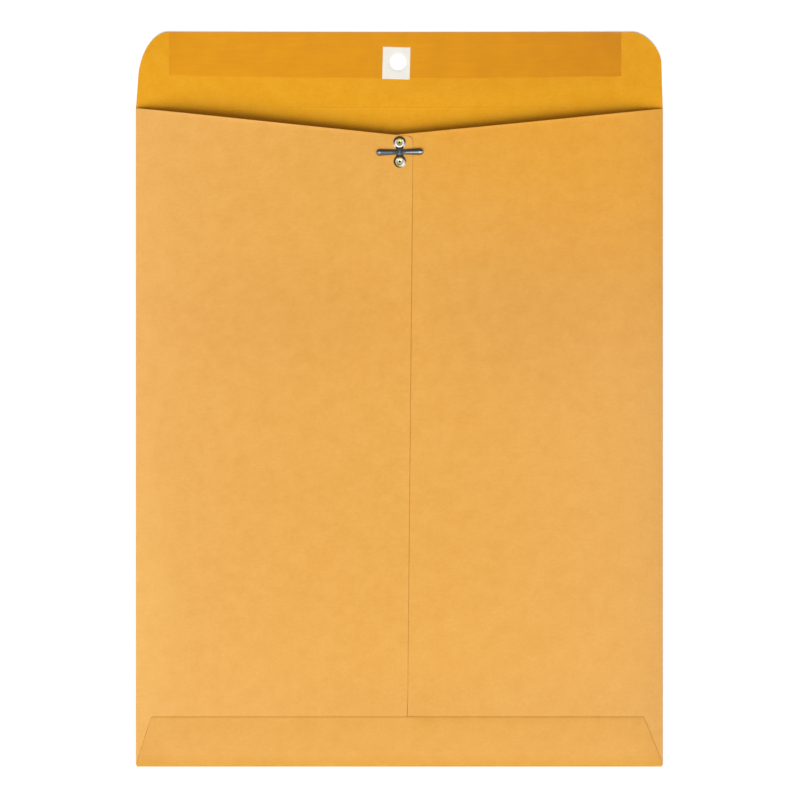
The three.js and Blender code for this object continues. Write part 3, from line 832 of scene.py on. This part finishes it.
# %% White patch
patch_paper = paper_finish("Patch paper", (0.83, 0.79, 0.71), (0.91, 0.87, 0.79), roughness=0.7, grain=0.6)
corner_angles = [
    math.atan2(sy * patch_half[1] + patch_shift[1], sx * patch_half[0] + patch_shift[0])
    for sx, sy in ((1, 1), (-1, 1), (-1, -1), (1, -1))
]
around = np.concatenate([np.linspace(-math.pi, math.pi, 97)[:-1], corner_angles])
around = np.unique(np.round(around, 6))
outward = np.linspace(0, 1, 12)[:, None]
ring = hole_radius + outward * (patch_edge(around) - hole_radius)
ring_points = points_at(ring * np.cos(around), ring * np.sin(around))
flat_patch = turned(hole_middle + ring_points, patch_tilt, hole_middle)
patch_low = on_flap(flat_patch[..., 0], flat_patch[..., 1])
patch_thickness = 0.15 * (1 - 0.6 * np.exp(-(((ring - hole_radius) / 0.9) ** 2)))
patch_high = patch_low + patch_thickness[..., None] * [0, 0, 1]
patch_piece = make_piece(
    "Hole_patch", *closed_sheet(patch_high, patch_low, wrap=True), (patch_paper,) * 3, "flap"
)
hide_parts("hole_patch")

# %% Gum
def gum_finish():
    """Dried gum: a satin film over the paper's mustard, drawn out in faint streaks along the flap."""
    material, tree, shader = new_finish("Dried gum", 0.42, 0.1)
    place = rest_place(tree)
    clouds, streaks = noise(tree, place, 70.0, 3.0), fibre_noise(tree, place, 0.0, 60.0)
    x = add(tree, "ShaderNodeSeparateXYZ", {0: place}).outputs["X"]
    share = weigh(tree, [(clouds, 0.7), (streaks, 0.4), (x, -2.2)], -0.75)
    tone = tone_between(tree, share, (0.65, 0.25, 0.01), (0.82, 0.345, 0.01))
    height = weigh(tree, [(streaks, 1.0), (clouds, 0.4)], 0.5)
    dress(tree, shader, patchy(tree, place, tone, gum_patches), height, strength=0.2, relief=0.03)
    return material

gum_left, gum_right, gum_low, gum_film = -133.3, 128.4, flap_top - 25.2, 0.06
notch_half, hair = patch_half + 0.3, 1e-6
notch_left, notch_right, notch_top = (
    turned(patch_middle + notch_half * side, patch_tilt, patch_middle) for side in ([-1, 0], [1, 0], [0, 1])
)
notch_start, notch_end, lean = notch_left[0], notch_right[0], math.tan(patch_tilt)
gum_columns = np.concatenate([
    spread(gum_left, notch_start, 2.4), np.linspace(notch_start, notch_end, 13),
    spread(notch_end + 1.2, gum_right, 2.4), [gum_right],
])
inside_notch = (gum_columns >= notch_start - hair) & (gum_columns <= notch_end + hair)
gum_rows = np.concatenate([np.linspace(0, 1, 19), 1 + np.linspace(0, 1, 12)[1:]])[:, None]
ceiling = notch_top[1] + lean * (np.clip(gum_columns, notch_start, notch_end) - notch_top[0])
roller = 0.12 * np.sin(gum_columns / 7.3) + 0.08 * np.sin(gum_columns / 2.9 + 1)
sag = 1.4 * (1 - ((gum_columns - 10) / 130) ** 2)
floor_line, top_line = gum_low + roller - sag, flap_top - 0.02
below = floor_line + gum_rows * (ceiling - floor_line)
above = ceiling + (gum_rows - 1) * (top_line - ceiling)
gum_y = np.where(gum_rows <= 1, below, above)
fading = [notch_start - 20, notch_start, notch_end, notch_end + 20]
weight = np.interp(gum_columns, fading, [0, 1, 1, 0])
gum_x = gum_columns - weight * lean * (np.clip(gum_y, gum_low, notch_top[1]) - patch_middle[1])
gum_keep = ~((gum_rows[:-1] < 1) & (inside_notch[:-1] & inside_notch[1:])[None, :])
gum_under = on_flap(gum_x, gum_y)
gum_piece = make_piece(
    "Flap_gum", *closed_sheet(gum_under + [0, 0, gum_film], gum_under, gum_keep), (gum_finish(),) * 3, "flap"
)
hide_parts("flap_gum")

# %% [markdown]
# ## The clasp
# The clasp is stamped from thin plated steel. Its base is two rings joined by a neck, and each ring is held
# by an eyelet, a little tube whose upper end is rolled out. The prongs have a rounded ridge that stiffens
# them. Highlight and shade on the metal are painted: each piece carries a number from 0 to 1 at each point,
# from a painted dark reflection to a painted highlight, and the steel's finish reads it.

# %% Steel finish
def steel_finish(name, dark, middle, bright, roughness):
    """Plated steel from a painted dark reflection by a middle tone to a painted highlight, with fine
    scratches.
    """
    material, tree, shader = new_finish(name, roughness, 0.5, metal=1.0)
    highlight_and_shade = add(tree, "ShaderNodeAttribute", attribute_name="highlight_and_shade").outputs["Fac"]
    place = add(tree, "ShaderNodeTexCoord").outputs["Object"]
    scratches, spots = fibre_noise(tree, place, 1.57, 700.0), noise(tree, place, 1400.0, 2.0)
    share = weigh(tree, [(highlight_and_shade, 1.0), (scratches, 0.12), (spots, 0.1)], 0.5)
    tone = tone_between(tree, share, dark, bright)
    tone.node.color_ramp.elements.new(0.25).color = (*middle, 1)
    dress(tree, shader, tone, scratches, strength=0.15, relief=0.01)
    return material

# Dark tones are painted dark reflection and bright tones painted highlight; the eyelet's olive middle tone
# paints its bore like the shaded paper seen through a hole.
clasp_steel = steel_finish("Clasp steel", (0.05, 0.038, 0.026), (0.09, 0.145, 0.18), (0.74, 0.73, 0.8), 0.3)
eyelet_steel = steel_finish("Eyelet steel", (0.06, 0.04, 0.025), (0.34, 0.29, 0.08), (0.76, 0.71, 0.68), 0.22)

def paint_highlight_and_shade(piece, values):
    """Stores each point's painted light, from 0 for a painted dark reflection to 1 for a painted highlight.
    """
    layer = piece.data.attributes.new("highlight_and_shade", "FLOAT", "POINT")
    layer.data.foreach_set("value", np.clip(values, 0, 1).astype(np.float32))

def clasp_place(points):
    """Points of the clasp's own frame, its middle on the paper at z = 0, put where the clasp is."""
    c, s = math.cos(clasp_tilt), math.sin(clasp_tilt)
    x, y, z = points[..., 0], points[..., 1], points[..., 2]
    return points_at(clasp_x + c * x - s * y, clasp_y + s * x + c * y, back_top + z)

def metal_piece(name, points, quads, finish, body, sharp=40):
    """A piece drawn in the clasp's own frame, with one finish."""
    kinds = np.zeros(len(quads), int)
    return make_piece(name, clasp_place(points), quads, kinds, (finish,), body, sharp)

back_top = paper + gape + 2 * paper + 0.06
base_radius, neck_half, sheet_steel = 3.6, 2.0, 0.35
print("paper under the clasp at z", round(back_top, 2), "mm")

# %% Clasp base
def ring_outline(count):
    """Outline of the upper half of the base round its eyelet: circle, fillets and neck down to the middle."""
    turn_in = math.asin((neck_half + 0.35) / base_radius)
    arc = np.linspace(-math.pi / 2 + turn_in, 1.5 * math.pi - turn_in, count)
    circle = base_radius * points_at(np.cos(arc), np.sin(arc))
    down = np.linspace(circle[0][1], -eyelet_spacing / 2, 12)[1:]
    flare = 0.35 * np.exp(-(circle[0][1] - down) / 0.6)
    right = points_at(neck_half + flare, down)[::-1]
    left = points_at(-neck_half - flare, down)
    middle = points_at(np.linspace(-neck_half, neck_half, 10)[1:-1], -eyelet_spacing / 2)
    return np.concatenate([right, circle, left, middle])

def base_half(side):
    """Half of the base as two grids from its eyelet's hole to the outline, with a low saddle on the neck."""
    outline = ring_outline(60)
    hole = eyelet_hole * outline / np.linalg.norm(outline, axis=1, keepdims=True)
    share = np.linspace(0, 1, 9)[:, None, None]
    flat = hole + share * (outline - hole)
    x, y = side * flat[..., 0], side * (flat[..., 1] + eyelet_spacing / 2)
    saddle = 0.4 * np.exp(-((x / 0.65) ** 2)) * np.exp(-((y / 1.5) ** 4))
    return points_at(x, y, sheet_steel + saddle), points_at(x, y, 0.0)

halves = []
for side in (1, -1):
    points, quads, kinds = closed_sheet(*base_half(side), wrap=True)
    on_middle = np.abs(points[:, 1]) < 1e-6
    inner_wall = (kinds == 2) & on_middle[quads].all(axis=1)
    halves.append((points, quads[~inner_wall]))
base_points = np.concatenate([points for points, _ in halves])
base_quads = np.concatenate([halves[0][1], halves[1][1] + len(halves[0][0])])
_, first, back = np.unique(np.round(base_points, 5), axis=0, return_index=True, return_inverse=True)
base_points, base_quads = base_points[first], back.reshape(-1)[base_quads]
# Painted light on the base: painted glints on the rings' outer edges, on the lower right of the lower ring
# and on both lower sides of the upper ring, a little middle tone across the neck, and painted dark reflection
# elsewhere.
from_ring = base_points[:, :2] - [0, 1] * np.sign(base_points[:, 1:2]) * eyelet_spacing / 2
glint = np.clip(from_ring @ [0.77, -0.64] / base_radius, 0, 1) ** 3
both_sides = np.clip(0.3 - 1.2 * from_ring[:, 1] / base_radius, 0, 1) * (np.abs(base_points[:, 0]) > 2.3)
glint = np.where(base_points[:, 1] > 0, both_sides, glint) * (np.hypot(*from_ring.T) > 2.9)
base_highlight_and_shade = 0.16 * np.exp(-((base_points[:, 1] / 1.4) ** 4)) + 0.85 * glint
clasp_base = metal_piece("Clasp_base", base_points, base_quads, clasp_steel, "pocket")
paint_highlight_and_shade(clasp_base, base_highlight_and_shade)
rounding = clasp_base.modifiers.new("Stamped edge", "BEVEL")
rounding.width, rounding.segments, rounding.limit_method = 0.09 * MM, 3, "ANGLE"
rounding.angle_limit = math.radians(50)
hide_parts("clasp_base")

# %% Eyelets
rim_radius, rim_roll, eyelet_steps = 2.42, 0.38, 64

def eyelet_profile():
    """Closed outline (radius, height): rolled rim, funnel, bore and the flange inside the pocket."""
    roll = np.linspace(-0.15 * math.pi, 0.5 * math.pi, 12)
    rim = points_at(rim_radius + rim_roll * np.cos(roll), 0.62 + 0.28 * np.sin(roll))
    funnel = np.linspace(0, 1, 12)[1:]
    cup = points_at(rim_radius - 0.92 * funnel, 0.9 - 0.72 * funnel**1.6)
    bore = np.array([[1.3, 0.05], [1.1, -0.05], [0.6, -0.12], [0.5, -0.5]])
    curl = np.linspace(0, math.pi / 2, 8)[1:]
    clinch = points_at(2.2 + 0.7 * np.sin(curl), -0.38 - 0.35 * np.cos(curl))
    barrel = np.array([[1.9, -0.38], [1.9, 0.1], [1.9, 0.36], [2.4, 0.36]])
    ends = np.array([[0.9, -0.7], [1.9, -0.73]])
    return np.concatenate([rim, cup, bore, ends, clinch, barrel])

def eyelet(name, node, side, wider, heavy_side, shade_side, funnel_shade_side, funnel_shade, bore_light):
    """The profile turned round its axis. The rim is rolled wider on its heavy side and has a painted dark
    reflection on another, the funnel has a painted shade on one side, and the last number says how brightly
    the bore is painted. Sides are in degrees from +X."""
    radius, height = eyelet_profile().T
    angle = np.linspace(0, 2 * math.pi, eyelet_steps, endpoint=False)[:, None]
    heavy, dark, funnel_shaded = (np.cos(angle - math.radians(a)) for a in (heavy_side, shade_side, funnel_shade_side))
    over_rim = climb(radius, rim_radius, rim_radius + rim_roll) * (height > 0.4)
    reach = radius + (wider * heavy - 0.05) * over_rim
    x, y = reach * np.cos(angle), reach * np.sin(angle) + side * eyelet_spacing / 2
    corner = np.arange(x.size).reshape(x.shape)
    next_corner = np.roll(corner, -1, axis=1)
    quads = [corner, next_corner, np.roll(next_corner, -1, axis=0), np.roll(corner, -1, axis=0)]
    quads = np.stack(quads, axis=-1).reshape(-1, 4)
    points = points_at(x, y, height).reshape(-1, 3)
    piece = metal_piece(name, points, quads, eyelet_steel, "pocket", sharp=60)
    # Painted light: a painted dark reflection on one side of the rim's outside, a painted shade on one side
    # of the funnel, and the bore painted as bright as the last number says.
    wall = climb(radius, 1.3, 1.8)
    outside = climb(radius, 1.8, 2.1) * (height > 0.4)
    highlight_and_shade = 1 - 0.97 * np.clip(1.3 * dark, 0, 1) * outside
    highlight_and_shade = highlight_and_shade * (1 - funnel_shade * np.clip(funnel_shaded, 0, 1) ** 2 * wall)
    paint_highlight_and_shade(piece, np.where(height < 0.1, bore_light, highlight_and_shade * (bore_light + (1 - bore_light) * wall)).ravel())
    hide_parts(node)

eyelet(
    "Upper_eyelet", "upper_eyelet", 1,
    wider=0.05, heavy_side=-75, shade_side=90, funnel_shade_side=80, funnel_shade=0.3, bore_light=0.25,
)
eyelet(
    "Lower_eyelet", "lower_eyelet", -1,
    wider=0.3, heavy_side=-38, shade_side=72, funnel_shade_side=-118, funnel_shade=0.85, bore_light=0.55,
)

# %% Prongs
prong_length, root_half, tip_half = 12.55, 1.35, 1.85
prong_lift, ridge = 0.5, 0.45

def prong_grid():
    """Across the strip it is a half wave of metal: a crown above, a hollow below, and rounded flanks."""
    straight = prong_length - tip_half
    round_end = tip_half * np.sin(np.linspace(0, math.radians(86), 14))[1:]
    along = np.concatenate([np.linspace(0, straight, 26), straight + round_end])
    half = np.where(
        along <= straight, root_half + along / straight * (tip_half - root_half),
        np.sqrt(np.maximum(tip_half**2 - (along - straight) ** 2, 0)),
    )
    lean_across = np.sin(np.linspace(-math.pi / 2, math.pi / 2, 25))
    x, y = along[:, None], lean_across * half[:, None]
    grown = np.minimum(along / 3, 1) * np.minimum(half / tip_half, 1)
    crown = ridge * grown[:, None] * (1 - lean_across**2)
    flank = sheet_steel * (0.45 + 0.55 * np.sqrt(np.maximum(1 - lean_across**2, 0)))
    return points_at(x, y, crown + flank), points_at(x, y, crown * 0.95), lean_across

def prong(name, node, side, bright, highlight_at):
    """The same strip to the right, or turned half round to the left. Bright is how strong the painted
    highlight along its crest is, and the last number how far that painted highlight lies off the strip's
    middle."""
    upper, lower, lean_across = prong_grid()
    points, quads, _ = closed_sheet(upper, lower)
    along, off_highlight = upper[..., 0], lean_across - highlight_at
    # Painted light: a painted dark reflection on the flanks, a little less in the middle, a painted highlight
    # line along the crest and a painted glint near the tip; the lower side gets a middle value.
    body = 0.11 * np.exp(-((lean_across / 0.4) ** 4))
    crest = np.exp(-((off_highlight / 0.14) ** 2)) * climb(along, 0.8, 3.8)
    tip = np.exp(-(((along - 10.7) / 0.6) ** 2)) * np.exp(-((off_highlight / 0.3) ** 2))
    prong_highlight_and_shade = (body + crest * (0.32 + 0.55 * bright) + 0.5 * tip).ravel()
    moved = points * [side, side, 1] + [side, -0.1, prong_lift]
    rides = "right_clasp_prong" if side > 0 else "left_clasp_prong"
    piece = metal_piece(name, moved, quads, clasp_steel, rides, sharp=70)
    paint_highlight_and_shade(piece, np.concatenate([prong_highlight_and_shade, np.full(prong_highlight_and_shade.shape, 0.5)]))
    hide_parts(node)

prong("Left_prong", "left_prong", -1, bright=0.0, highlight_at=0.0)
prong("Right_prong", "right_prong", 1, bright=0.8, highlight_at=-0.13)

# %% [markdown]
# Both boxes, the CAD model's and the dressed model's, are printed in millimetres and can be compared. The
# dressed model may not be larger than the CAD model.

# %% Sizes
dressed_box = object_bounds()
boxes = {"cad": [list(corner) for corner in cad_box], "visual": [list(corner) for corner in dressed_box]}
for name, (low, high) in boxes.items():
    print(name, [round(v / MM, 2) for v in low], [round(v / MM, 2) for v in high])
